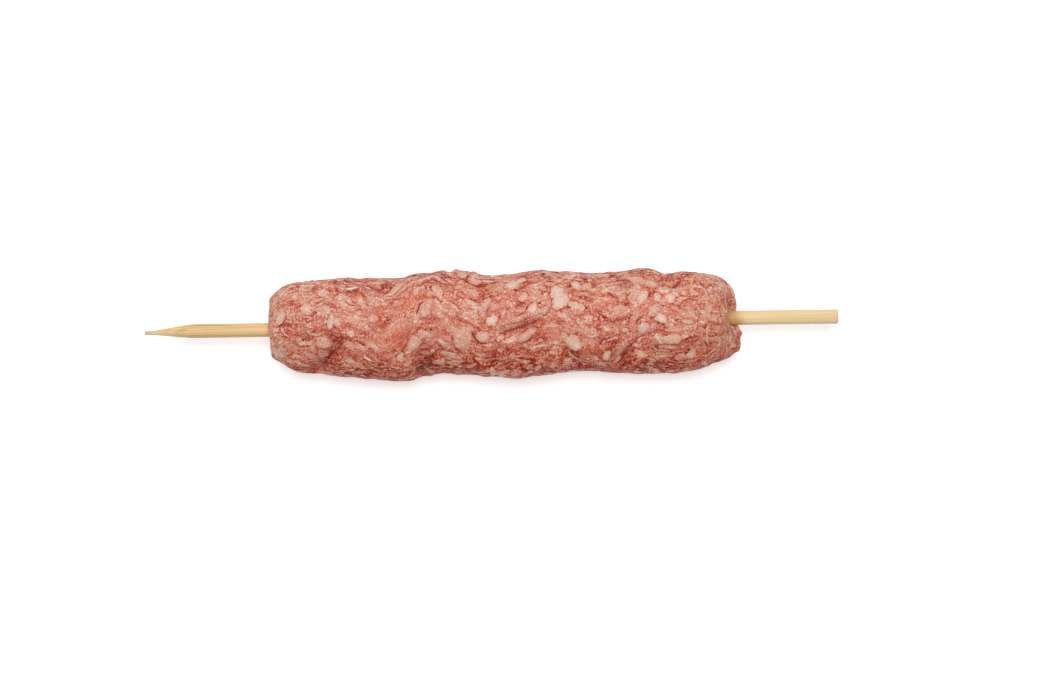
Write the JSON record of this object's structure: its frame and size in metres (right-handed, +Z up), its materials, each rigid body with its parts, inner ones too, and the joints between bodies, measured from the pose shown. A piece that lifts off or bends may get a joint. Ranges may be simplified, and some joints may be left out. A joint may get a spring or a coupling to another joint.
{
  "type": "kofta skewer",
  "caption": "Raw kofta skewer lying flat: a long hand-pressed loaf of minced meat with squeezed swells, folds and bits of fat, on a pointed round bamboo stick.",
  "frame": {"origin": "half way along the stick, on the surface that the meat rests on", "axes": "+X along the stick, from its whittled point towards its square-cut end; +Z up; +Y across the skewer, towards its far side as pictured"},
  "size_m": [0.2, 0.0316, 0.0268],
  "materials": {
    "raw_mince": "moist pinkish raw mince with pale bits of fat",
    "bamboo": "bare smooth bamboo with lengthwise grain"
  },
  "bodies": {
    "root": {"minced_meat": "raw_mince", "bamboo_stick": "bamboo"}
  },
  "joints": []
}
